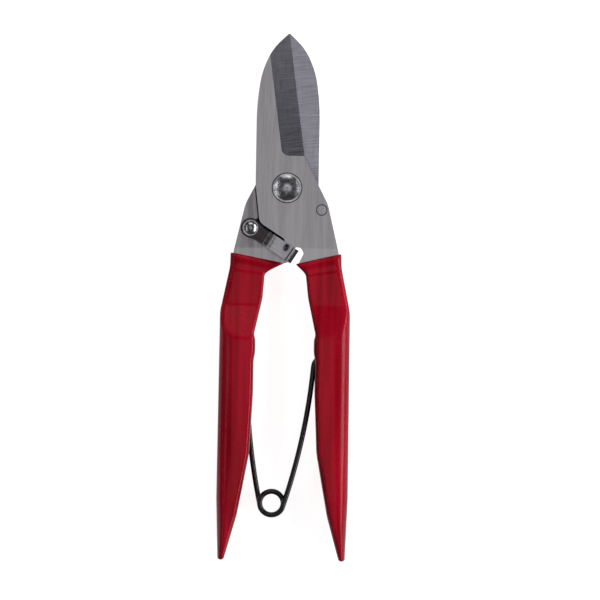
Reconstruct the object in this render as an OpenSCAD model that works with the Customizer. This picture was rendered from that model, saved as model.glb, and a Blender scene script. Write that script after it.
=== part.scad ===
// Pruning shears with two crossing blades, dipped handles, a swing latch and a wire spring.
// Frame: the shears lie on their back on z = 0. The pivot axis is X = Y = 0, +Y runs to the
// blade tips and +Z is the front. The rear half is the front half turned over about Y.

/* [Blades] */
// Pivot axis to blade tip
blade_length = 62; // [52:0.5:74]
// Width across both closed blades
blade_width = 25.2; // [24.4:0.2:30]
// Thickness of each steel plate
plate_t = 3; // [2.5:0.1:3.6]
// Gap between the two plates' mating faces
blade_gap = 0.1; // [0.06:0.02:0.3]
// Thickness left at the cutting edge
edge_t = 0.3; // [0.2:0.05:0.6]
// Width of the ground bevel, square to the cutting edge
bevel_width = 8.8; // [6:0.1:10]
// Height above the pivot where the bevel ends
bevel_end = 12.4; // [11:0.1:15]

/* [Pivot] */
// Diameter of the pivot bolt's shank
shank_d = 7; // [6:0.1:8]
// Radial running clearance on the shank and on the latch rivet
run_gap = 0.05; // [0.02:0.01:0.1]
// Diameter of the pivot bolt's domed head
head_d = 11.4; // [10:0.1:13]
// Height of that dome
head_h = 1.6; // [1:0.1:2]
// Diameter of the bolt's threaded end
thread_d = 6; // [5:0.1:6]
// Width of the hexagon nut across its flats
nut_af = 10; // [9:0.1:12]
// Thickness of the washer under the nut
washer_t = 0.8; // [0.5:0.1:1.2]
// Outer diameter of that washer
washer_d = 12; // [10:0.1:14]

/* [Stop pin] */
// Diameter of the pin that stops the handles closing too far
stop_d = 4.1; // [3:0.1:5]
// Place of the stop pin, X
stop_x = 14; // [13.6:0.1:14.4]
// Place of the stop pin, Y
stop_y = -8.6; // [-9.4:0.1:-7.8]
// Gap left between the pin and the rear blade when the handles are closed
stop_gap = 0.12; // [0.08:0.02:0.3]

/* [Handles] */
// Pivot axis to the handle tails
handle_length = 149; // [142:0.5:165]
// Overall width across both handles
span = 52.6; // [51:0.2:60]
// Thickness of the whole tool, front to back
depth = 14; // [13.4:0.1:16]
// Thickness of the handles' channel walls
sheet_t = 1.8; // [1.4:0.1:2.2]
// Thickness of the dipped coat outside
coat_t = 0.9; // [0.6:0.05:1.2]
// Thickness of the coat inside the channel
lining_t = 0.5; // [0.3:0.05:0.7]
// Distance below the pivot where the neck starts to deepen
neck_y = 46.5; // [45:0.5:48]
// Distance below the pivot where the channel starts
channel_y = 61; // [60:0.2:61.4]
// Play between coat and steel, so that they don't overlap
coat_gap = 0.02; // [0.01:0.01:0.05]

/* [Latch] */
// Length from the rivet to the end of the latch
latch_length = 21.2; // [20:0.1:23]
// Width of the latch strip
latch_w = 6; // [5:0.1:6.4]
// Thickness of the latch strip
latch_t = 1.2; // [0.9:0.1:1.4]
// Slope of the closed latch below the X axis
latch_slope = 33; // [32:0.5:34]
// Diameter of the latch rivet's head
rivet_head_d = 6.2; // [5:0.1:7]
// Diameter of the latch rivet's shank
rivet_d = 3.4; // [3:0.1:4]
// Thickness of the spring washer under the latch
wave_t = 0.3; // [0.2:0.05:0.5]
// Height of the latch's pressed dimple
dimple_h = 0.8; // [0.5:0.1:1]
// Diameter of that dimple
dimple_d = 2; // [1.6:0.1:2.2]

/* [Spring] */
// Diameter of the spring wire
wire_d = 2.1; // [1.8:0.05:2.2]
// Radius of the coil to the middle of the wire
coil_r = 4.7; // [4:0.1:6]
// Gap between one layer of wire and the next
wire_gap = 0.06; // [0.04:0.02:0.2]
// Radius of the long bow of each arm
bow_r = 250; // [240:5:270]

/* [Hidden] */

$fn = 48;
steel = "silver";
chrome = "gainsboro";
vinyl = "firebrick";
black = "#1c1c1e";

big = 400;                              // longer than anything it cuts
over = 0.5;                             // how far a cut runs past a face
mid_z = depth / 2;                      // plane between the two blades
plate_low = mid_z + blade_gap / 2;
plate_top = plate_low + plate_t;
steel_low = coat_t;
steel_top = depth - coat_t;
half_w = blade_width / 2;
outer_x = span / 2;                     // outer side of the coated handle
round_r = 5;                            // rounding along that side
tail_y = -handle_length;
taper = handle_length - channel_y - 8;    // from the channel's top to the tail

// ---- outlines -------------------------------------------------------------------------

function unit(v) = v / norm(v);

// Points round one corner [x, y, radius] of a path, between its two neighbours; the radius
// gives way where a side is too short for it
function corner_arc(a, b, c, steps) =
    let(
        p = [b.x, b.y],
        back = [a.x, a.y] - p,
        ahead = [c.x, c.y] - p,
        u = unit(back),
        w = unit(ahead),
        half = acos(max(-1, min(1, u * w))) / 2,
        reach = min(b.z / tan(half), 0.48 * min(norm(back), norm(ahead))),
        r = reach * tan(half),
        start = p + u * reach,
        centre = p + unit(u + w) * r / sin(half),
        from = atan2(start.y - centre.y, start.x - centre.x),
        turn = 180 - 2 * half,
        side = sign(u.y * w.x - u.x * w.y)
    )
    b.z == 0 ? [p] : [for (i = [0:steps])
        centre + r * [cos(from + side * turn * i / steps),
                      sin(from + side * turn * i / steps)]];

// A closed outline from its corners, each rounded by its own radius
function rounded(corners, steps = 8) =
    let(n = len(corners))
    [for (i = [0:n - 1])
        each corner_arc(corners[(i + n - 1) % n], corners[i], corners[(i + 1) % n], steps)];

// The same corners moved inwards by g all round, for a path that runs clockwise
function shrunk(corners, g) =
    let(n = len(corners))
    [for (i = [0:n - 1])
        let(
            a = corners[(i + n - 1) % n],
            b = corners[i],
            c = corners[(i + 1) % n],
            p = [b.x, b.y],
            u = unit([a.x, a.y] - p),
            w = unit([c.x, c.y] - p),
            half = acos(u * w) / 2,
            bulge = sign(u.x * w.y - u.y * w.x),
            q = p + bulge * unit(u + w) * g / sin(half)
        )
        [q.x, q.y, max(b.z - bulge * g, 0.2)]];

// Corners of the coated handle, clockwise from the top of its outer side
function handle_corners(inner_top, inner_bend) = [
    [outer_x - 4.1, -26.1, 0.8],
    [outer_x - 4, -31.5, 14],
    [outer_x - 0.3, -49.5, 30],
    [outer_x, tail_y + 25, 90],
    [outer_x - 0.9, tail_y, 0.9],
    [outer_x - 3.1, tail_y, 0.9],
    [outer_x - 8.3, tail_y + 0.225 * taper, 60],
    [outer_x - 12.9, tail_y + 0.5375 * taper, 90],
    [outer_x - 14, tail_y + 0.85 * taper, 60],
    [outer_x - 14, -channel_y - 8, 3],
    [outer_x - 14.6, -channel_y - 5, 2],
    [outer_x - 14.6, -channel_y + 0.8, 0.6],
    [outer_x - 14.0, -channel_y + 2, 0.6],
    [outer_x - 17.2, -neck_y + 2.5, 40],
    inner_bend,
    inner_top
];
front_handle = handle_corners([3.9, -30.5, 0.5], [8.2, -34.4, 3]);
rear_handle = handle_corners([0.8, -30.2, 0.5], [8.7, -33.6, 4]);

// The steel under the coat: the handle without its coated top end
function steel_handle(coated) =
    let(inside = shrunk(coated, coat_t + coat_gap))
    [for (i = [1:len(inside) - 2]) inside[i]];

shoulder = [[16.5, -6.4, 16], [21, -25.5, 12]];
spine = [-half_w, 1.5, 20];
ogive = [
    [-half_w, blade_length - 29, 120], [-half_w + 1.7, blade_length - 16, 50],
    [-half_w + 6, blade_length - 6.4, 25]];
edge_end = [6.8, bevel_end];            // lower end of the cutting edge

// Where the rear plate's hidden side must stand for the pin to stop against it
stop_edge = -(stop_x - stop_d / 2 - stop_gap);
hip_y = -13.9;
hip_rear = spine.x + (stop_edge - spine.x) * (spine.y - hip_y) / (spine.y - stop_y);

// Whole outline of a blade with its handle steel, with the tang's own inner corners
function blade_corners(coated, inner) = concat(
    [[0, blade_length, 0.3], [edge_end.x, edge_end.y, 0.4]], shoulder,
    steel_handle(coated), inner, [spine], ogive);

front_corners = blade_corners(front_handle, [
    [5.0, -30.4, 0.4], [7.1, -26.0, 1.1], [5.9, -23.9, 1.1], [3.9, -23.6, 0.5],
    [2.7, -26.4, 0.9], [0.2, -27.3, 0.9], [-2.2, -26.0, 0.9], [-0.4, -20.6, 1.3],
    [-10.8, hip_y, 4]]);
rear_corners = blade_corners(rear_handle, [
    [1.4, -30.4, 0.4], [-1.8, -29.3, 0.8], [-0.6, -20.7, 1.3], [hip_rear, hip_y, 4]]);

// ---- shapes that repeat ---------------------------------------------------------------

// Turn a part over, from the front half to the rear half
module turned_over() {
    translate([0, 0, depth]) rotate([0, 180, 0]) children();
}

// A side view in Y and Z, pushed through along X
module through_x(points) {
    rotate([90, 0, 90]) translate([0, 0, -big / 2]) linear_extrude(big) polygon(points);
}

// Side view of one half: a flat plate, a neck that deepens, and the handle
module side_view(g) {
    through_x([
        [big / 2, plate_low - g], [big / 2, plate_top + g],
        [-neck_y, plate_top + g], [-channel_y, steel_top + g],
        [tail_y + 24, steel_top + g], [tail_y - over, steel_top + g - 2.4],
        [tail_y - over, steel_low - g + 2.4], [tail_y + 24, steel_low - g],
        [-channel_y, steel_low - g], [-neck_y, plate_low - g]
    ]);
}

// The channel along a handle, open on the inner side; inset leaves room for its lining
module channel(coated, inset) {
    wall = shrunk(coated, coat_t + sheet_t + inset);
    first = 2;
    last = 8;
    sides = [for (i = [first:last]) wall[i]];
    low = steel_low + sheet_t + inset;
    translate([0, 0, low]) linear_extrude(depth - 2 * low)
        polygon(rounded(concat(
            [[-big / 16, -channel_y - 0.6 - inset, 0], [sides[0].x, -channel_y - 0.6 - inset, 1]],
            [for (i = [1:2]) [sides[i].x, sides[i].y + (i == 2 ? 22 : 0), i == 2 ? 2 : 60]],
            [[-big / 16, tail_y + 40, 0]])));
}

// A low dome of diameter d and height h standing on z = 0, with a centre-drill mark
module dome(d, h, mark_d) {
    r = (d * d / 4 + h * h) / (2 * h);
    rim = 0.35;
    difference() {
        union() {
            cylinder(d = d, h = rim);
            translate([0, 0, rim]) intersection() {
                translate([0, 0, h - rim - r]) sphere(r);
                cylinder(d = d, h = h);
            }
        }
        translate([0, 0, h - mark_d / 2]) cylinder(d1 = 0.1, d2 = mark_d * 1.4, h = mark_d);
    }
}

// End view in X and Z, pushed through along Y: flat except for the handle's rounded outer side
module rounded_side(g) {
    translate([0, big / 2, 0]) rotate([90, 0, 0]) linear_extrude(big) polygon(rounded([
        [-big / 8, g - over, 0], [-big / 8, depth - g + over, 0], [0, depth - g + over, 0],
        [0, depth - g, 0], [outer_x - g, depth - g, round_r - g],
        [outer_x - g, g, round_r - g], [0, g, 0], [0, g - over, 0]]));
}

// ---- blades ---------------------------------------------------------------------------

// X of the bevel's inner border at height y, a bevel's width inside the cutting edge
function bevel_side(y, lean) =
    (blade_length - y) * tan(lean) - (bevel_width + 0.01) / cos(lean);

// Everything in front of the ground face of one blade
module bevel_cut() {
    lean = atan2(edge_end.x, blade_length - edge_end.y);
    slope = atan2(plate_t - edge_t, bevel_width);
    intersection() {
        translate([edge_end.x, edge_end.y, plate_low + edge_t]) rotate([0, 0, lean])
            rotate([0, slope, 0]) translate([-big / 2, -big / 2, 0]) cube([big, big, big / 8]);
        linear_extrude(depth * 2) polygon(rounded([
            [big / 8, big / 4, 0], [big / 8, bevel_end + 0.1, 0],
            [bevel_side(bevel_end + 0.5, lean), bevel_end + 0.5, 3],
            [bevel_side(big / 4, lean), big / 4, 0]]));
    }
}

// One steel half, front side up, before its holes are drilled
module blade_steel(corners, coated) {
    difference() {
        intersection() {
            linear_extrude(depth) polygon(rounded(corners));
            side_view(0);
            rounded_side(coat_t + coat_gap);
        }
        channel(coated, 0);
        bevel_cut();
        translate([0, 0, -over]) cylinder(d = shank_d + 2 * run_gap, h = depth + 2 * over);
    }
}

// ---- spring shape ---------------------------------------------------------------------

coil = [-4.2, 22.9 - handle_length];
spring_tilt = 2.8;                      // the spring's own axis leans this much
tangent = 15.3;                         // slope of an arm where it leaves the coil
layer = wire_d + wire_gap;
kink = 35;                              // the arm's end turns out by this much
kink_length = 5.5;
knee_turn = tangent + asin((-coil.y - channel_y - 8.225
    - (bow_r - coil_r) * sin(tangent)) / bow_r);
peg_bend = 2.2;                         // radius of the bend into the peg
peg_length = 1.1;

// One arm in the spring's own frame, right-hand side: [x, y, z, heading]
bow_centre = coil_r * [cos(tangent), -sin(tangent)] + bow_r * [-cos(tangent), sin(tangent)];
knee = bow_centre + bow_r * [cos(knee_turn - tangent), sin(knee_turn - tangent)];
arm_end = knee + kink_length * [sin(kink), cos(kink)];
function coil_path(turns, rise, steps) = [for (i = [0:steps - 1])
    let(a = -tangent - 360 * turns * (1 - i / steps))
    [coil_r * cos(a), coil_r * sin(a), -rise * (1 - i / steps), a + 90]];
function bow_path(steps) = [for (i = [0:steps])
    let(a = -tangent + knee_turn * i / steps)
    [bow_centre.x + bow_r * cos(a), bow_centre.y + bow_r * sin(a), 0, a + 90]];
function peg_path(steps) = [for (i = [0:steps])
    let(a = 90 * i / steps, back = peg_bend * (1 - sin(a)))
    [arm_end.x - back * sin(kink), arm_end.y - back * cos(kink),
     peg_bend * (1 - cos(a)), 90 - kink]];
function arm_path(turns, rise, steps) = concat(
    coil_path(turns, rise, steps), bow_path(12), peg_path(6),
    [[arm_end.x, arm_end.y, peg_bend + peg_length, 90 - kink]]);

// A round wire swept along [x, y, z, heading]; each ring's flat side vector stays level
module wire(path, sides = 12) {
    n = len(path);
    at = [for (p = path) [p.x, p.y, p.z]];
    rings = [for (i = [0:n - 1])
        let(
            h = path[i][3],
            side = [sin(h), -cos(h), 0],
            along = unit(at[min(i + 1, n - 1)] - at[max(i - 1, 0)]),
            up = unit(cross(side, along))
        )
        for (k = [0:sides - 1])
            at[i] + wire_d / 2 * (cos(360 * k / sides) * side + sin(360 * k / sides) * up)];
    quads = [for (i = [0:n - 2], k = [0:sides - 1])
        let(next = (k + 1) % sides)
        [i * sides + k, (i + 1) * sides + k, (i + 1) * sides + next, i * sides + next]];
    ends = [[for (k = [0:sides - 1]) k],
            [for (k = [0:sides - 1]) n * sides - 1 - k]];
    polyhedron(rings, concat(quads, ends));
}

// An arm on the right of the spring, at its place in the tool
module spring_arm(turns, rise, steps) {
    translate([0, 0, mid_z + layer]) wire(arm_path(turns, rise, steps));
}

function at_spring(p, side) =
    let(x = side * p.x)
    [coil.x + x * cos(spring_tilt) + p.y * sin(spring_tilt),
     coil.y - x * sin(spring_tilt) + p.y * cos(spring_tilt)];
left_peg = at_spring(arm_end, -1);
right_peg = at_spring(arm_end, 1);
peg_play = 0.3;                         // the open joint of the spring linkage
flange_low = depth - steel_low - sheet_t;

// ---- latch shape ----------------------------------------------------------------------

latch_at = [-14.4, -16.1];
latch_low = mid_z - blade_gap / 2 + wave_t;     // underside of the strip by the rivet
latch_high = plate_top + dimple_h + 0.15;       // underside where it crosses the front plate
step_start = 8;
step_run = 2.6;
dimple_at = 16.3;                       // along the latch from its rivet
dimple_side = 1.2;                      // towards the blades from its middle
lip_h = 1.8;
lip_t = 1;
washer_ring = 1.6;
rear_top = mid_z - blade_gap / 2;
rear_low = rear_top - plate_t;

// Place something at the latch rivet, with X along the closed latch
module at_latch(z) {
    translate([latch_at.x, latch_at.y, z]) rotate([0, 0, -latch_slope]) children();
}
dent = latch_at + [
    dimple_at * cos(latch_slope) + dimple_side * sin(latch_slope),
    -dimple_at * sin(latch_slope) + dimple_side * cos(latch_slope)];

// ---- sub-parts ------------------------------------------------------------------------

module front_blade() {
    color(steel) difference() {
        blade_steel(front_corners, front_handle);
        translate([stop_x, stop_y, 0]) cylinder(d = stop_d + 2 * coat_gap, h = depth);
        translate([dent.x, dent.y, plate_top - dimple_h]) cylinder(d = dimple_d + 0.3, h = depth);
        translate([right_peg.x, right_peg.y, mid_z])
            cylinder(d = wire_d + 2 * peg_play, h = depth);
    }
}

module rear_blade() {
    color(steel) difference() {
        turned_over() blade_steel(rear_corners, rear_handle);
        translate([latch_at.x, latch_at.y, 0]) cylinder(d = rivet_d + 2 * coat_gap, h = depth);
        translate([left_peg.x, left_peg.y, -over])
            cylinder(d = wire_d + 2 * run_gap, h = mid_z);
    }
}

// A dipped coat, front side up: the handle's outer shape less its steel and its channel
module coat(coated, corners, peg, play) {
    difference() {
        intersection() {
            linear_extrude(depth) polygon(rounded(coated));
            side_view(coat_t);
            rounded_side(0);
        }
        intersection() {
            linear_extrude(depth) polygon(rounded(corners));
            side_view(coat_gap);
            rounded_side(coat_t);
        }
        channel(coated, lining_t);
        translate([peg.x, peg.y, mid_z])
            cylinder(d = wire_d + 2 * play, h = flange_low - mid_z + over);
    }
}

// The lining and skin of the right handle
module right_grip() {
    color(vinyl) coat(front_handle, front_corners, right_peg, peg_play);
}

// The lining and skin of the left handle
module left_grip() {
    color(vinyl) turned_over() coat(rear_handle, rear_corners, [-left_peg.x, left_peg.y], run_gap);
}

module pivot_bolt() {
    color(chrome) {
        translate([0, 0, plate_top + run_gap]) dome(head_d, head_h, 0.8);
        translate([0, 0, rear_low + run_gap])
            cylinder(d = shank_d, h = plate_top + run_gap - rear_low - run_gap);
        cylinder(d = thread_d, h = rear_low + run_gap);
    }
}

module pivot_washer() {
    color(steel) translate([0, 0, rear_low - washer_t]) difference() {
        cylinder(d = washer_d, h = washer_t);
        translate([0, 0, -over]) cylinder(d = thread_d + 2 * run_gap, h = washer_t + 2 * over);
    }
}

module pivot_nut() {
    corner_d = nut_af / cos(30);
    nut_h = rear_low - washer_t;
    color(steel) difference() {
        cylinder(d = corner_d, h = nut_h, $fn = 6);
        translate([0, 0, -over]) cylinder(d = thread_d + 2 * run_gap, h = nut_h + 2 * over);
    }
}

module stop_pin() {
    color(steel) translate([stop_x, stop_y, rear_low + 0.3])
        cylinder(d = stop_d, h = plate_top - rear_low - 0.3);
}

module latch_rivet() {
    head_z = latch_low + latch_t + run_gap;
    back_h = 1.1;
    color(chrome) {
        translate([latch_at.x, latch_at.y, head_z]) dome(rivet_head_d, 1.6, 0.5);
        translate([latch_at.x, latch_at.y, rear_low - back_h]) {
            cylinder(d = rivet_d, h = head_z - rear_low + back_h);
            cylinder(d1 = rivet_d + 1.2, d2 = rivet_d + 2.4, h = back_h);
        }
    }
}

module latch_washer() {
    color(steel) translate([latch_at.x, latch_at.y, rear_top]) difference() {
        cylinder(d = rivet_d + 2 * washer_ring, h = wave_t - 0.02);
        translate([0, 0, -over]) cylinder(d = rivet_d + 2 * run_gap, h = wave_t + 2 * over);
    }
}

module latch_lever() {
    ring_r = 3.8;
    rise = latch_high - latch_low;
    color(chrome) at_latch(latch_low) difference() {
        union() {
            // the strip in side view, pushed through its width and trimmed to its outline
            intersection() {
                rotate([90, 0, 0]) translate([0, 0, -big / 8]) linear_extrude(big / 4) polygon([
                    [-ring_r, 0], [step_start, 0], [step_start + step_run, rise],
                    [latch_length, rise], [latch_length, rise + latch_t + lip_h],
                    [latch_length - lip_t, rise + latch_t + lip_h],
                    [latch_length - lip_t, rise + latch_t],
                    [step_start + step_run - 0.5, rise + latch_t],
                    [step_start - 0.5, latch_t], [-ring_r, latch_t]]);
                linear_extrude(depth) union() {
                    circle(ring_r);
                    polygon(rounded([
                        [0, latch_w / 2, 0], [latch_length, latch_w / 2, 0.8],
                        [latch_length, -latch_w / 2, 0.8], [0, -ring_r, 0]]));
                }
            }
            translate([dimple_at, dimple_side, rise - dimple_h])
                cylinder(d1 = dimple_d * 0.7, d2 = dimple_d, h = dimple_h);
        }
        translate([0, 0, -over]) cylinder(d = rivet_d + 2 * run_gap, h = latch_t + 2 * over);
        translate([dimple_at, dimple_side, rise + latch_t - 0.6]) cylinder(d = dimple_d * 0.8, h = 1);
    }
}

// The left arm carries one more turn, so it makes the middle layer of the coil
module spring_left_arm() {
    color(black) translate([coil.x, coil.y, 0]) rotate([0, 0, -spring_tilt])
        turned_over() spring_arm(1.4, layer, 34);
}

module spring_right_arm() {
    color(black) translate([coil.x, coil.y, 0]) rotate([0, 0, -spring_tilt])
        spring_arm(0.45, 0, 14);
}

rear_blade();
left_grip();
pivot_bolt();
pivot_washer();
pivot_nut();
latch_rivet();
latch_washer();
front_blade();
right_grip();
stop_pin();
latch_lever();
spring_left_arm();
spring_right_arm();
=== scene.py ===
"""Pruning shears: ground steel blades, dipped vinyl grips, a nickel latch and a black wire spring.

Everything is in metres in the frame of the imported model: +Y to the blade tips, +Z to the front.
"""
import math

import bmesh
import bpy
import numpy as np
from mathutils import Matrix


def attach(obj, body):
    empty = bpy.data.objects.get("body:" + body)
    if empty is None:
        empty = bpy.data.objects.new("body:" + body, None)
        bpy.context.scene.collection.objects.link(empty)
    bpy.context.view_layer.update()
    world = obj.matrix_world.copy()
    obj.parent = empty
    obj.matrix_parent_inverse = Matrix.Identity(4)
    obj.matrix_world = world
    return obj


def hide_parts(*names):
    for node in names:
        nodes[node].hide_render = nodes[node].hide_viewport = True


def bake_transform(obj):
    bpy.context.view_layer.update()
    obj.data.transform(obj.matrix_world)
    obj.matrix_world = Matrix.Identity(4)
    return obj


MM = 0.001
MIDDLE = 7.0                                    # height of the plane between the two blades
DEPTH = 14.0                                    # full depth of the handles
STOP_PIN = (14.0, -8.6)
LATCH_PIN = (-14.4, -16.1)                      # the rivet that the latch turns on
LATCH_SLOPE = 33                                # how far the latch leans below X, in degrees
DIMPLE = (16.3, 1.3)                            # along the latch from its rivet, and to its side

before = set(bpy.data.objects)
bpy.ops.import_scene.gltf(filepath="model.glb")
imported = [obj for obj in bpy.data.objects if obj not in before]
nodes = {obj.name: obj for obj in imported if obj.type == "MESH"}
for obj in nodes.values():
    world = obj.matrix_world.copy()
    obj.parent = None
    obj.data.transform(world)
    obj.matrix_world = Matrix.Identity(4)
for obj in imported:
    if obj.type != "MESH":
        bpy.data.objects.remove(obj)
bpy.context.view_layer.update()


# ---- colours and node trees -----------------------------------------------------------------


def tint(code):
    """An sRGB hex colour as linear RGBA."""
    parts = [int(code[i:i + 2], 16) / 255 for i in (1, 3, 5)]
    return [p / 12.92 if p <= 0.04045 else ((p + 0.055) / 1.055) ** 2.4 for p in parts] + [1.0]


def add(tree, kind, inputs=None, **settings):
    """Adds one node with its settings; an input takes a plain value or another node's socket."""
    made = tree.nodes.new(kind)
    for name, value in settings.items():
        setattr(made, name, value)
    for name, value in (inputs or {}).items():
        socket = made.inputs[name]
        if isinstance(value, bpy.types.NodeSocket):
            tree.links.new(value, socket)
        else:
            socket.default_value = value
    return made


def finish_named(name):
    """A new material with an empty tree and its shader."""
    made = bpy.data.materials.new(name)
    made.use_nodes = True
    tree = made.node_tree
    tree.nodes.clear()
    shader = add(tree, "ShaderNodeBsdfPrincipled")
    add(tree, "ShaderNodeOutputMaterial", {"Surface": shader.outputs[0]})
    return made, tree, shader


def streaks(tree, place, width, length, detail=3.0):
    """Fine lines that run along Y: their width and length in mm."""
    stretch = add(tree, "ShaderNodeMapping", {
        "Vector": place, "Scale": (1 / (width * MM), 1 / (length * MM), 1 / (length * MM))})
    return add(tree, "ShaderNodeTexNoise", {
        "Vector": stretch.outputs[0], "Scale": 1.0, "Detail": detail, "Roughness": 0.6}).outputs[0]


def between(tree, value, low, high, to_low, to_high):
    """value from low..high onto to_low..to_high, held at the ends."""
    return add(tree, "ShaderNodeMapRange", {
        "Value": value, "From Min": low, "From Max": high,
        "To Min": to_low, "To Max": to_high}, interpolation_type="SMOOTHSTEP").outputs[0]


def blend_colours(tree, factor, first, second):
    """first where factor is 0, second where it is 1."""
    made = add(tree, "ShaderNodeMix", data_type="RGBA")
    for index, value in ((0, factor), (6, first), (7, second)):
        if isinstance(value, bpy.types.NodeSocket):
            tree.links.new(value, made.inputs[index])
        else:
            made.inputs[index].default_value = value
    return made.outputs[2]


def ground_steel(name, rear):
    """Cold rolled carbon steel, surface ground: fine lines lengthwise on the flats, and
    cross grinding on the bevels and on the rear blade's cutting flat. A painted highlight marks the
    press crease. Painted shade darkens the bevels in part, blackens the plate edges and rings the
    pivot head, the stop pin and the latch rivet, and a painted shadow lies along the front plate's
    lower edge."""
    made, tree, shader = finish_named(name)
    where = add(tree, "ShaderNodeTexCoord")
    place = where.outputs["Object"]
    xyz = add(tree, "ShaderNodeSeparateXYZ", {"Vector": place})
    facing = add(tree, "ShaderNodeSeparateXYZ", {"Vector": where.outputs["Normal"]})
    upright = add(tree, "ShaderNodeMath", {0: facing.outputs[2]}, operation="ABSOLUTE").outputs[0]
    bevel = between(tree, upright, 0.990, 0.968, 0.0, 1.0)
    edge = between(tree, upright, 0.93, 0.86, 0.0, 1.0)
    # grit lines 0.25 mm apart on the flats, drawn coarser than real ones so that they show
    fine = streaks(tree, place, 0.22, 9.0)
    broad = streaks(tree, place, 1.8, 30.0, 2.0)
    turned = add(tree, "ShaderNodeMapping", {
        "Vector": place, "Rotation": (0.0, 0.0, math.radians(84))})
    cross = streaks(tree, turned.outputs[0], 0.30, 9.0)
    flat = blend_colours(tree, between(tree, fine, 0.3, 0.7, 0.0, 1.0),
                         tint("#8B868B" if rear else "#A9A6AB"),
                         tint("#ABA6AA" if rear else "#C9C6CA"))
    flat = blend_colours(tree, between(tree, broad, 0.35, 0.7, 0.0, 0.4), flat, tint("#DAD7DA"))
    # the bevels' darker colour is partly cross grinding and partly painted shade
    ground = blend_colours(tree, between(tree, cross, 0.3, 0.7, 0.0, 1.0),
                           tint("#5A5A60"), tint("#80808A"))
    # the bevel is coloured lighter towards the tip
    ground = blend_colours(tree, between(tree, xyz.outputs[1], 20 * MM, 58 * MM, 0.0, 0.4),
                           ground, tint("#9C9CA3"))
    hatch = blend_colours(tree, between(tree, cross, 0.3, 0.7, 0.0, 1.0),
                          tint("#A3A2AE"), tint("#C6C5D2"))
    cut = 1.0 if rear else 0.0
    flat = blend_colours(tree, between(tree, xyz.outputs[1], 1 * MM, 3 * MM, 0.0, cut), flat, hatch)
    # the plates are set down in a press just above the coats; a painted highlight, a lighter band,
    # stands in for the light that crease catches
    crease_highlight = between(tree, xyz.outputs[1], -24.6 * MM, -23.6 * MM, 0.4, 0.0)
    flat = blend_colours(tree, crease_highlight, flat, tint("#DEDCDF"))
    colour = blend_colours(tree, bevel, flat, ground)
    # painted shade: faces that turn steeply from the front, the plate edges, are coloured near
    # black
    colour = blend_colours(tree, edge, colour, tint("#28272A"))
    # painted shade: dark rings round each head or pin where it stands on the plate; centre and
    # radius of each, in mm
    for (x, y), radius, wide in (((0, 0), 5.85, 0.4), (STOP_PIN, 2.1, 0.3),
                                 (LATCH_PIN, 3.4, 0.7)):
        away = add(tree, "ShaderNodeVectorMath", {
            0: add(tree, "ShaderNodeCombineXYZ", {
                "X": xyz.outputs[0], "Y": xyz.outputs[1]}).outputs[0],
            1: (x * MM, y * MM, 0)}, operation="DISTANCE").outputs["Value"]
        off = add(tree, "ShaderNodeMath", {
            0: away, 1: radius * MM}, operation="SUBTRACT").outputs[0]
        off = add(tree, "ShaderNodeMath", {0: off}, operation="ABSOLUTE").outputs[0]
        colour = blend_colours(tree, between(tree, off, wide * 0.4 * MM, wide * MM, 0.85, 0.0),
                               colour, tint("#1B1A1C"))
    if rear:
        # painted shadow in the corner under the front plate's edge: its lower side, then its back.
        # Each is a turn
        #         in degrees that lays the side along an axis, its place, its half width and its two
        #         ends
        front = between(tree, xyz.outputs[2], 6.5 * MM, 6.9 * MM, 0.0, 1.0)
        for turn, across, at, wide, low, high in ((32.8, 1, -17.7, 1.6, -3.0, 12.0),
                                                  (-6.7, 0, -12.34, 0.7, -14.0, 0.6)):
            lean = add(tree, "ShaderNodeMapping", {
                "Vector": place, "Rotation": (0.0, 0.0, math.radians(turn))})
            line = add(tree, "ShaderNodeSeparateXYZ", {"Vector": lean.outputs[0]})
            off = add(tree, "ShaderNodeMath", {
                0: line.outputs[across], 1: at * MM}, operation="SUBTRACT").outputs[0]
            off = add(tree, "ShaderNodeMath", {0: off}, operation="ABSOLUTE").outputs[0]
            shadow_band, run = front, line.outputs[1 - across]
            for part in (between(tree, off, wide * 0.4 * MM, wide * MM, 1.0, 0.0),
                         between(tree, run, (low - 1) * MM, low * MM, 0.0, 1.0),
                         between(tree, run, high * MM, (high + 1) * MM, 1.0, 0.0)):
                shadow_band = add(tree, "ShaderNodeMath", {0: shadow_band, 1: part},
                           operation="MULTIPLY").outputs[0]
            colour = blend_colours(tree, shadow_band, colour, tint("#101012"))
    rough = between(tree, fine, 0.3, 0.7, 0.30, 0.42)
    lines = add(tree, "ShaderNodeMix", {0: bevel, 2: fine, 3: cross})
    bump = add(tree, "ShaderNodeBump", {
        "Height": lines.outputs[0], "Strength": 0.25, "Distance": 0.02 * MM})
    tree.links.new(colour, shader.inputs["Base Color"])
    tree.links.new(rough, shader.inputs["Roughness"])
    tree.links.new(bump.outputs[0], shader.inputs["Normal"])
    shader.inputs["Metallic"].default_value = 1.0
    return made


def polished(name, light, dark, rough, spot):
    """Plated metal, buffed: a near mirror with faint hairlines, and patches of darker colour
    painted in as reflections.
    """
    made, tree, shader = finish_named(name)
    place = add(tree, "ShaderNodeTexCoord").outputs["Object"]
    painted_reflection_patches = add(tree, "ShaderNodeTexNoise", {
        "Vector": place, "Scale": 1 / (spot * MM), "Detail": 3.0}).outputs[0]
    hair = streaks(tree, place, 0.2, 6.0)
    # painted reflection: cloudy patches of the darker colour
    colour = blend_colours(tree, between(tree, painted_reflection_patches, 0.35, 0.65, 0.0, 1.0),
                           tint(light), tint(dark))
    tree.links.new(colour, shader.inputs["Base Color"])
    tree.links.new(between(tree, hair, 0.3, 0.7, rough, rough + 0.08), shader.inputs["Roughness"])
    bump = add(tree, "ShaderNodeBump", {
        "Height": hair, "Strength": 0.12, "Distance": 0.01 * MM})
    tree.links.new(bump.outputs[0], shader.inputs["Normal"])
    shader.inputs["Metallic"].default_value = 1.0
    return made


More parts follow.
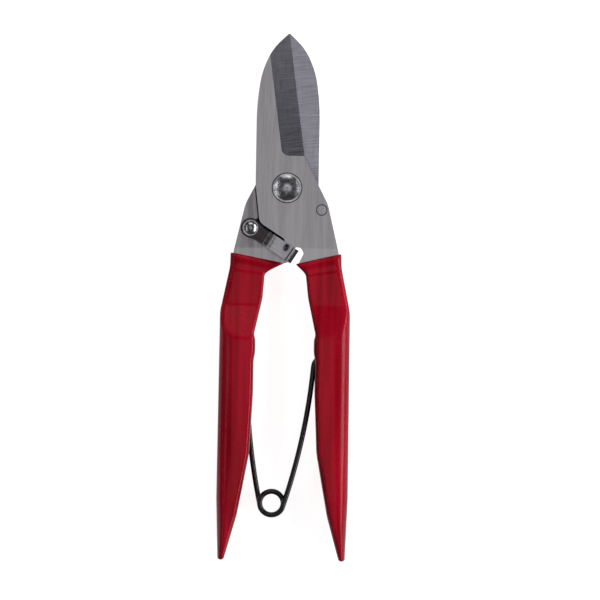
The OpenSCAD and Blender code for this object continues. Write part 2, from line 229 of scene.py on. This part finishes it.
def dipped_vinyl(name, deep, bright, side):
    """Plastisol that the handle was dipped in and cured: thick, soft and glossy, with slow
    waves where it flowed, painted light and dark streaks along them, painted shade on its
    turned-down sides and a slight orange peel."""
    made, tree, shader = finish_named(name)
    where = add(tree, "ShaderNodeTexCoord")
    place = where.outputs["Object"]
    flow_and_painted_streaks = streaks(tree, place, 3.6, 60.0, 1.0)
    peel = add(tree, "ShaderNodeTexNoise", {
        "Vector": place, "Scale": 1 / (1.1 * MM), "Detail": 2.0}).outputs[0]
    # painted streaks: light and dark colour bands along the grip, over the real flow waves that
    # also bump it
    colour = blend_colours(tree, between(tree, flow_and_painted_streaks, 0.3, 0.7, 0.0, 1.0), tint(deep), tint(bright))
    # painted shade: where the coat turns down its sides, away from the front, its colour is darker
    facing = add(tree, "ShaderNodeSeparateXYZ", {"Vector": where.outputs["Normal"]})
    upright = add(tree, "ShaderNodeMath", {0: facing.outputs[2]}, operation="ABSOLUTE").outputs[0]
    colour = blend_colours(tree, between(tree, upright, 0.3, 0.965, 0.85, 0.0), colour, tint(side))
    wave = add(tree, "ShaderNodeBump", {"Height": flow_and_painted_streaks, "Strength": 0.6, "Distance": 0.4 * MM})
    skin = add(tree, "ShaderNodeBump", {
        "Height": peel, "Strength": 0.12, "Distance": 0.03 * MM, "Normal": wave.outputs[0]})
    tree.links.new(colour, shader.inputs["Base Color"])
    tree.links.new(between(tree, peel, 0.3, 0.7, 0.18, 0.28), shader.inputs["Roughness"])
    tree.links.new(skin.outputs[0], shader.inputs["Normal"])
    shader.inputs["IOR"].default_value = 1.5
    shader.inputs["Specular IOR Level"].default_value = 0.16
    return made


def lacquered_wire():
    """Spring steel wire in black lacquer: smooth, with drawing marks along it."""
    made, tree, shader = finish_named("black_lacquered_wire")
    place = add(tree, "ShaderNodeTexCoord").outputs["Object"]
    marks = streaks(tree, place, 0.5, 5.0)
    colour = blend_colours(tree, between(tree, marks, 0.35, 0.65, 0.0, 1.0),
                           tint("#08080A"), tint("#17171A"))
    bump = add(tree, "ShaderNodeBump", {
        "Height": marks, "Strength": 0.2, "Distance": 0.02 * MM})
    tree.links.new(colour, shader.inputs["Base Color"])
    tree.links.new(between(tree, marks, 0.3, 0.7, 0.2, 0.32), shader.inputs["Roughness"])
    tree.links.new(bump.outputs[0], shader.inputs["Normal"])
    shader.inputs["IOR"].default_value = 1.5
    return made


def pressed_nickel():
    """Nickel plated spring strip, bright with a fine grain: a painted dark brown reflection near
    its rivet, and painted shade in the pressed dimple and beside the lip at its end."""
    made, tree, shader = finish_named("nickel_plate_painted_shade")
    place = add(tree, "ShaderNodeTexCoord").outputs["Object"]
    shifted = add(tree, "ShaderNodeVectorMath", {
        0: place, 1: (-LATCH_PIN[0] * MM, -LATCH_PIN[1] * MM, 0)}, operation="ADD").outputs[0]
    aligned = add(tree, "ShaderNodeMapping", {
        "Vector": shifted, "Rotation": (0.0, 0.0, math.radians(LATCH_SLOPE))}).outputs[0]
    run = add(tree, "ShaderNodeSeparateXYZ", {"Vector": aligned})
    grain = add(tree, "ShaderNodeTexNoise", {
        "Vector": add(tree, "ShaderNodeMapping", {
            "Vector": aligned, "Scale": (1 / (6 * MM), 1 / (0.5 * MM), 1 / (4 * MM))}).outputs[0],
        "Scale": 1.0, "Detail": 3.0}).outputs[0]
    bright = blend_colours(tree, between(tree, grain, 0.3, 0.7, 0.0, 1.0),
                           tint("#ACAAB0"), tint("#DAD8DE"))
    painted_dark_reflection = blend_colours(tree, between(tree, grain, 0.3, 0.7, 0.0, 1.0),
                           tint("#3A3536"), tint("#5F575A"))
    # painted reflection: the strip is coloured dark brown near its rivet
    near = between(tree, run.outputs[0], 7.2 * MM, 8.2 * MM, 1.0, 0.0)
    colour = blend_colours(tree, near, bright, painted_dark_reflection)
    # painted shade inside each bend beside the lip: place along the strip and half width
    for at, half in ((18.8, 0.3), (20.7, 0.6)):
        off = add(tree, "ShaderNodeMath", {
            0: run.outputs[0], 1: at * MM}, operation="SUBTRACT").outputs[0]
        off = add(tree, "ShaderNodeMath", {0: off}, operation="ABSOLUTE").outputs[0]
        colour = blend_colours(tree, between(tree, off, half * 0.6 * MM, half * 1.2 * MM, 0.9, 0.0),
                               colour, tint("#201D20"))
    # painted shade: a dark oval in the pressed dimple
    oval = add(tree, "ShaderNodeMapping", {
        "Vector": aligned, "Location": (-DIMPLE[0] / 0.95, -DIMPLE[1] / 1.5, 0.0),
        "Scale": (1 / (0.95 * MM), 1 / (1.5 * MM), 0.0)}).outputs[0]
    away = add(tree, "ShaderNodeVectorMath", {0: oval}, operation="LENGTH").outputs["Value"]
    colour = blend_colours(tree, between(tree, away, 0.8, 1.15, 1.0, 0.0), colour, tint("#4B4B5A"))
    tree.links.new(colour, shader.inputs["Base Color"])
    tree.links.new(between(tree, grain, 0.3, 0.7, 0.32, 0.42), shader.inputs["Roughness"])
    shader.inputs["Metallic"].default_value = 1.0
    return made


steel = ground_steel("surface_ground_carbon_steel", False)
rear_steel = ground_steel("cross_ground_carbon_steel", True)
chrome = polished("bright_chrome_plate", "#D2D2D6", "#8E8E96", 0.2, 2.2)
nickel = pressed_nickel()
zinc = polished("dull_zinc_plate", "#B4B6BA", "#97999E", 0.28, 1.5)
vinyl = dipped_vinyl("red_dipped_vinyl", "#A2041A", "#C80B2B", "#58040F")
wire_black = lacquered_wire()


# ---- meshes ---------------------------------------------------------------------------------


def piece(name, points, faces, material):
    """A finished piece at the origin, from points in mm."""
    mesh = bpy.data.meshes.new(name)
    mesh.from_pydata([tuple(MM * float(c) for c in p) for p in points], [], faces)
    shell = bmesh.new()
    shell.from_mesh(mesh)
    bmesh.ops.remove_doubles(shell, verts=shell.verts, dist=1e-7)
    bmesh.ops.recalc_face_normals(shell, faces=shell.faces)
    shell.to_mesh(mesh)
    shell.free()
    for face in mesh.polygons:
        face.use_smooth = True
    mesh.materials.append(material)
    made = bpy.data.objects.new(name, mesh)
    bpy.context.scene.collection.objects.link(made)
    return made


def skin_over(rings):
    """Faces over closed rings of equal count, with both ends closed."""
    count, each = len(rings), len(rings[0])
    faces = [(i * each + k, i * each + (k + 1) % each,
              (i + 1) * each + (k + 1) % each, (i + 1) * each + k)
             for i in range(count - 1) for k in range(each)]
    faces.append(tuple(range(each)))
    faces.append(tuple(reversed(range((count - 1) * each, count * each))))
    return [p for ring in rings for p in ring], faces


def ease(value, start, end):
    """0 at start, 1 at end, smooth between."""
    t = min(1.0, max(0.0, (value - start) / (end - start)))
    return t * t * (3 - 2 * t)


def arc(cx, cz, r, start, end, steps):
    """Points round an arc, its angles in degrees."""
    return [(cx + r * math.cos(math.radians(start + (end - start) * i / steps)),
             cz + r * math.sin(math.radians(start + (end - start) * i / steps)))
            for i in range(steps + 1)]


def along(knots, y, width):
    """x of a side given by [x, y] knots from top to tail, averaged over +-width mm of y."""
    down = [-k[1] for k in knots]
    out = [k[0] for k in knots]
    spots = -y + np.linspace(-width, width, 9)
    return float(np.interp(spots, down, out).mean())


def round_off(away, reach):
    """How far an elliptical rounding has fallen, from 1 at its edge to 0 at its reach."""
    t = min(1.0, max(0.0, 1 - away / reach))
    return 1 - math.sqrt(1 - t * t)


def lesser(a, b, soft):
    """The lower of two heights, with the corner between them eased."""
    near = max(0.0, soft - abs(a - b)) / soft
    return min(a, b) - near * near * soft / 4


TOP = -26.1                                     # dip line at the outer side
TAIL = -149.0
RAMP, RAMP_LENGTH = -46.5, 14.5                 # where the coat starts to rise, and over what
SLOT_TOP, SLOT_END = -61.5, -124.0              # ends of the open channel
COAT_HIGH, COAT_LOW = 10.95, 6.15               # faces of the coat over the plate
OUTER = [(22.2, TOP), (22.3, -31.5), (26.0, -49.5), (26.3, -124.0), (25.5, TAIL)]
INNER_BODY = [(9.1, -44.0), (12.3, -58.6), (12.3, -59.2), (11.7, -60.2), (11.7, -65.8),
              (12.3, -69.0), (12.3, -82.0), (13.4, -106.0), (18.0, -131.0), (23.0, TAIL)]


def handle(name, tip, neck, slope, flip):
    """One dipped grip, lofted down the handle from C-shaped sections. tip and neck are the first
    corners of its inner side; slope is how far the dip line leans; flip turns it over."""
    inner = [tip, neck] + INNER_BODY
    starts = np.concatenate([
        TOP - np.array([0, 0.06, 0.16, 0.3, 0.5, 0.8, 1.2, 1.7, 2.3]),
        np.arange(-29.0, -56.0, -0.6), np.arange(-56.0, -61.2, -0.4),
        np.arange(-61.2, -62.6, -0.12), np.arange(-62.6, -70.0, -0.4),
        np.arange(-70.0, -120.0, -1.2), np.arange(-120.0, -146.6, -0.8),
        TAIL + np.array([2, 1.4, 0.9, 0.5, 0.25, 0.08, 0.0])])
    rings = []
    for y in starts:
        lean = slope * (1 - ease(y, -27.0, -43.0))
        drop = TOP - y
        out = along(OUTER, y, 0.1 if drop < 3 else 1.5)
        low_y = y
        for _ in range(4):
            inside = along(inner, low_y, 0.02 if drop < 0.6 else min(1.0, drop * 0.3))
            low_y = y - lean * (out - inside)
        mid = (y + low_y) / 2
        # heights: the plate's coat, then the ramp up to the full depth of the handle
        ramp = float(np.clip((RAMP - mid - np.linspace(-0.5, 0.5, 7)) / RAMP_LENGTH, 0, 1).mean())
        high = COAT_HIGH + (DEPTH - COAT_HIGH) * ramp
        low = COAT_LOW * (1 - ramp)
        shrink = max(0.0, -124.5 - y) / 25.0
        high -= 2.4 * shrink
        low += 2.4 * shrink
        # a bead at the dip line, then a slight hollow below it
        bead = 0.35 * ease(drop, 0.2, 1.0) * (1 - ease(drop, 1.4, 2.6)) \
            - 0.35 * ease(drop, 2.0, 4.2) * (1 - ease(drop, 6.2, 7.0))
        high += bead
        low -= bead
        # rounding of the two ends
        inset = 0.0
        if drop < 0.5:
            inset = 0.5 - math.sqrt(max(0.0, 0.25 - (0.5 - drop) ** 2))
        rest = y - TAIL
        if rest < 1.0:
            inset = 1.0 - math.sqrt(max(0.0, 1.0 - (1.0 - rest) ** 2))
        inside, out, low, high = inside + inset, out - inset, low + inset, high - inset
        width = out - inside
        body_high, body_low = DEPTH - 2.4 * shrink - inset, 2.4 * shrink + inset
        far, near = min(8.6, width * 0.62), min(2.3, width * 0.34)
        depth_in = min(2.6, (body_high - body_low) * 0.3)
        depth_out = min(5.0, (body_high - body_low) * 0.42)
        steps = [inside + width * (0.5 - 0.5 * math.cos(math.pi * k / 30)) for k in range(31)]
        # the plate's own rounded coat, cut into the crowned body where that is lower
        drops = [(1.6 * round_off(out - x, 3.0) + 1.3 * round_off(x - inside, 1.6),
                  depth_out * round_off(out - x, far) + depth_in * round_off(x - inside, near))
                 for x in steps]
        over = [(x, lesser(high - a, body_high - b, 0.7)) for x, (a, b) in zip(steps, drops)]
        under = [(x, -lesser(-low - a, -body_low - b, 0.7)) for x, (a, b) in zip(steps, drops)]
        # the channel, closed to a line above and below its open length
        opened = ease(y, SLOT_TOP, SLOT_TOP - 0.6) * (1 - ease(y, SLOT_END + 6.0, SLOT_END))
        roof, floor = 10.8 - 1.4 * shrink, 3.2 + 1.4 * shrink
        roof = min(roof, over[0][1] - 0.5)
        floor = max(floor, under[0][1] + 0.5)
        if roof - floor < 1.0:
            centre = (over[0][1] + under[0][1]) / 2
            roof, floor = centre + 0.3, centre - 0.3
        web = max(min(23.1, out - 3.2), inside + 0.8)
        lip = min(0.45, (over[0][1] - roof) * 0.9)
        bend = min(1.2, (roof - floor) * 0.45)
        slot = arc(inside + lip, roof + lip, lip, 180, 270, 4) \
            + arc(web - bend, roof - bend, bend, 90, 0, 5) \
            + arc(web - bend, floor + bend, bend, 0, -90, 5) \
            + arc(inside + lip, floor - lip, lip, 90, 180, 4)
        slot = [(inside + (x - inside) * opened, z) for x, z in slot]
        ring = [(x, y - lean * (out - x), z) for x, z in over[::-1] + slot + under]
        if flip:
            ring = [(-x, down, DEPTH - z) for x, down, z in ring]
        rings.append(ring)
    return piece(name, *skin_over(rings), vinyl)


right = handle("right_dipped_grip", (3.9, -30.5), (8.0, -34.4), 0.24, False)
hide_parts("right_grip")
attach(right, "front_half")
left = handle("left_dipped_grip", (0.8, -30.2), (8.4, -34.2), 0.19, True)
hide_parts("left_grip")
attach(left, "rear_half")


# ---- spring ---------------------------------------------------------------------------------

COIL = (-4.2, -126.1)
COIL_R, WIRE_R, BOW_R = 4.7, 1.05, 250.0
LEAN, START, BOW = math.radians(2.8), math.radians(15.3), math.radians(13.5)
KINK, KINK_LENGTH, PEG_BEND, PEG_LENGTH = math.radians(35), 5.5, 2.2, 1.1
RISE = 2.55                                     # the arms leave the coil this far from its middle


def arm(side):
    """Points of one arm in the spring's own frame, from the coil to the peg's end."""
    cx = COIL_R * math.cos(START) - BOW_R * math.cos(START)
    cy = -COIL_R * math.sin(START) + BOW_R * math.sin(START)
    points = []
    for i in range(1, 41):
        a = -START + BOW * i / 40
        points.append([cx + BOW_R * math.cos(a), cy + BOW_R * math.sin(a), RISE])
    knee = points[-1]
    end = (knee[0] + KINK_LENGTH * math.sin(KINK), knee[1] + KINK_LENGTH * math.cos(KINK))
    # the knee itself is bent on a small radius
    points = points[:-1]
    for i in range(0, 9):
        t = i / 8
        back, ahead = 1.2 * (1 - t) ** 2, 1.2 * t ** 2
        points.append([knee[0] + ahead * math.sin(KINK), knee[1] - back + ahead * math.cos(KINK),
                       RISE])
    for i in range(0, 11):
        a = math.pi / 2 * i / 10
        back = PEG_BEND * (1 - math.sin(a))
        points.append([end[0] - back * math.sin(KINK), end[1] - back * math.cos(KINK),
                       RISE + PEG_BEND * (1 - math.cos(a))])
    points.append([end[0], end[1], RISE + PEG_BEND + PEG_LENGTH - 0.35])
    return [(side * x, y, side * z) for x, y, z in points]


def wire_tree():
    """Round wire swept along a line of edges."""
    tree = bpy.data.node_groups.new("round_wire_along_line", "GeometryNodeTree")
    tree.interface.new_socket("Line", in_out="INPUT", socket_type="NodeSocketGeometry")
    named = {name: tree.interface.new_socket(name, in_out="INPUT", socket_type=kind).identifier
             for name, kind in (("Wire radius", "NodeSocketFloat"), ("Sides", "NodeSocketInt"),
                                ("Finish", "NodeSocketMaterial"))}
    tree.interface.new_socket("Wire", in_out="OUTPUT", socket_type="NodeSocketGeometry")
    given = add(tree, "NodeGroupInput")
    line = add(tree, "GeometryNodeMeshToCurve", {"Mesh": given.outputs["Line"]})
    ring = add(tree, "GeometryNodeCurvePrimitiveCircle", {
        "Resolution": given.outputs["Sides"], "Radius": given.outputs["Wire radius"]})
    swept = add(tree, "GeometryNodeCurveToMesh", {
        "Curve": line.outputs[0], "Profile Curve": ring.outputs[0], "Fill Caps": True})
    real = add(tree, "GeometryNodeRealizeInstances", {"Geometry": swept.outputs[0]})
    done = add(tree, "GeometryNodeSetMaterial", {
        "Geometry": real.outputs[0], "Material": given.outputs["Finish"]})
    add(tree, "NodeGroupOutput", {"Wire": done.outputs[0]})
    return tree, named


def spring():
    """The whole spring as one wire: left arm, coil, right arm."""
    turns = 2 + (math.pi - 2 * START) / (2 * math.pi)
    steps = 150
    coil = [(COIL_R * math.cos(math.pi + START + 2 * math.pi * turns * i / steps),
             COIL_R * math.sin(math.pi + START + 2 * math.pi * turns * i / steps),
             -RISE + 2 * RISE * i / steps) for i in range(steps + 1)]
    path = [(COIL[0] + x * math.cos(LEAN) + y * math.sin(LEAN),
             COIL[1] - x * math.sin(LEAN) + y * math.cos(LEAN), MIDDLE + z)
            for x, y, z in list(reversed(arm(-1))) + coil + arm(1)]
    mesh = bpy.data.meshes.new("spring_line")
    mesh.from_pydata([tuple(MM * c for c in p) for p in path],
                     [(i, i + 1) for i in range(len(path) - 1)], [])
    line = bpy.data.objects.new("spring_line", mesh)
    bpy.context.scene.collection.objects.link(line)
    tree, named = wire_tree()
    sweep = line.modifiers.new("sweep", "NODES")
    sweep.node_group = tree
    sweep[named["Wire radius"]] = WIRE_R * MM
    sweep[named["Sides"]] = 20
    sweep[named["Finish"]] = wire_black
    bpy.context.view_layer.update()
    solid = bpy.data.meshes.new_from_object(
        line.evaluated_get(bpy.context.evaluated_depsgraph_get()))
    bpy.data.objects.remove(line)
    solid.name = "wire_spring"
    for face in solid.polygons:
        face.use_smooth = True
    made = bpy.data.objects.new("wire_spring", solid)
    bpy.context.scene.collection.objects.link(made)
    return made


wire = spring()
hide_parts("spring_left_arm", "spring_right_arm")
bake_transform(wire)


# ---- latch ----------------------------------------------------------------------------------


def latch():
    """A pressed strip: flat at its rivet, stepped up over the front blade, lip at its end."""
    middle = 7.25 + 1.2 / 2                     # of the strip's thickness, beside the rivet
    ring_r, step, bend = 3.8, 3.7, 1.1          # round end, rise over the front blade, lip's bend
    count = 25                                  # points across the strip
    spine = [(s, 0.0) for s in np.linspace(-ring_r, 7.4, 40)]
    spine += [(s, step * ease(s, 7.7, 11.1)) for s in np.linspace(7.6, 11.2, 22)]
    spine += [(s, step) for s in np.linspace(11.4, 19.4, 26)]
    spine += [(19.6 + bend * math.sin(a), step + bend * (1 - math.cos(a)))
              for a in np.linspace(0, math.pi / 2, 8)]
    spine += [(19.6 + bend, step + bend + t) for t in np.linspace(0.2, 1.0, 5)]
    turn = math.radians(-LATCH_SLOPE)
    points = []
    for s, z in spine:
        if s < 0:
            half = math.sqrt(max(0.01, ring_r ** 2 - s ** 2))
        else:
            half = 3.0 + 0.8 * (1 - ease(s, 0.5, 5.0))
        for across in half * np.linspace(-1, 1, count):
            sink = 0.55 * math.exp(-((s - DIMPLE[0]) / 0.85) ** 2
                                   - ((across - DIMPLE[1]) / 1.25) ** 2)
            points.append((LATCH_PIN[0] + s * math.cos(turn) - across * math.sin(turn),
                           LATCH_PIN[1] + s * math.sin(turn) + across * math.cos(turn),
                           middle + z - (sink if s < 19 else 0)))
    faces = [(i * count + k, i * count + k + 1, (i + 1) * count + k + 1, (i + 1) * count + k)
             for i in range(len(spine) - 1) for k in range(count - 1)]
    made = piece("latch_strip", points, faces, nickel)
    solid = made.modifiers.new("sheet", "SOLIDIFY")
    solid.thickness = 1.15 * MM
    solid.offset = 0.0
    soft = made.modifiers.new("edges", "BEVEL")
    soft.width = 0.16 * MM
    soft.segments = 2
    soft.limit_method = "ANGLE"
    soft.angle_limit = math.radians(50)
    return made


strip = latch()
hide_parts("latch_lever")
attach(strip, "latch")


# ---- finishes and soft edges for the pieces that keep their CAD shape --------------------------

for name, material, width in (
        ("front_blade", steel, 0.22), ("rear_blade", rear_steel, 0.22), ("stop_pin", steel, 0.06),
        ("pivot_bolt", chrome, 0.06), ("latch_rivet", chrome, 0.06),
        ("pivot_washer", zinc, 0.06), ("latch_washer", zinc, 0.03), ("pivot_nut", zinc, 0.15)):
    part = nodes[name]
    part.data.materials.clear()
    part.data.materials.append(material)
    for face in part.data.polygons:
        face.use_smooth = True
    weld = part.modifiers.new("weld", "WELD")
    weld.merge_threshold = 1e-6
    soft = part.modifiers.new("edges", "BEVEL")
    soft.width = width * MM
    soft.segments = 2
    soft.limit_method = "ANGLE"
    soft.angle_limit = math.radians(24)
    crease = part.modifiers.new("creases", "EDGE_SPLIT")
    crease.split_angle = math.radians(12)


# ---- floor, light and camera ------------------------------------------------------------------

floor_mesh = bpy.data.meshes.new("floor")
floor_mesh.from_pydata([(-3, -3, 0), (3, -3, 0), (3, 3, 0), (-3, 3, 0)], [], [(0, 1, 2, 3)])
floor = bpy.data.objects.new("floor", floor_mesh)
bpy.context.scene.collection.objects.link(floor)
floor.location.z = -0.0002
paper, paper_tree, paper_shader = finish_named("white_paper")
paper_shader.inputs["Base Color"].default_value = (0.7, 0.7, 0.7, 1)
paper_shader.inputs["Roughness"].default_value = 0.9
paper_shader.inputs["Emission Color"].default_value = (1, 1, 1, 1)
paper_shader.inputs["Emission Strength"].default_value = 0.86
floor_mesh.materials.append(paper)

world = bpy.data.worlds.new("studio")
bpy.context.scene.world = world
world.use_nodes = True
world.node_tree.nodes["Background"].inputs["Color"].default_value = (1, 1, 1, 1)
world.node_tree.nodes["Background"].inputs["Strength"].default_value = 0.06


def softbox(name, towards, distance, size, glow, shape="RECTANGLE"):
    """A soft light in a direction (x, y, z) from the shears, turned to face it. glow is how bright
    its face is, so a bigger box also gives more light."""
    light = bpy.data.lights.new(name, "AREA")
    light.shape = shape
    light.size, light.size_y = size
    light.energy = glow * math.pi * size[0] * size[1]
    made = bpy.data.objects.new(name, light)
    bpy.context.scene.collection.objects.link(made)
    away = np.array(towards, float)
    away /= np.linalg.norm(away)
    made.location = np.array((0, -0.045, 0)) + distance * away
    made.rotation_euler = (0, math.acos(away[2]), math.atan2(away[1], away[0]))
    return made


softbox("ceiling_box", (0, 0, 1), 2.7, (1.7, 1.7), 0.48, "ELLIPSE")
softbox("back_box", (0, 0.82, 0.57), 1.5, (0.5, 1.0), 1.6)
softbox("right_box", (0.88, 0, 0.47), 1.3, (0.35, 1.8), 7.0)
softbox("left_strip", (-0.72, 0, 0.69), 1.3, (0.12, 1.8), 2.4)

camera = bpy.data.cameras.new("camera")
camera.sensor_width = 36
camera.lens = 36 * 2.493 / 0.24
camera.clip_start, camera.clip_end = 0.05, 20
viewer = bpy.data.objects.new("camera", camera)
bpy.context.scene.collection.objects.link(viewer)
viewer.location = (0.0059, -0.0447, 2.5)
viewer.rotation_euler = (0, 0, math.radians(0.95))
bpy.context.scene.camera = viewer
bpy.context.scene.view_settings.view_transform = "Standard"
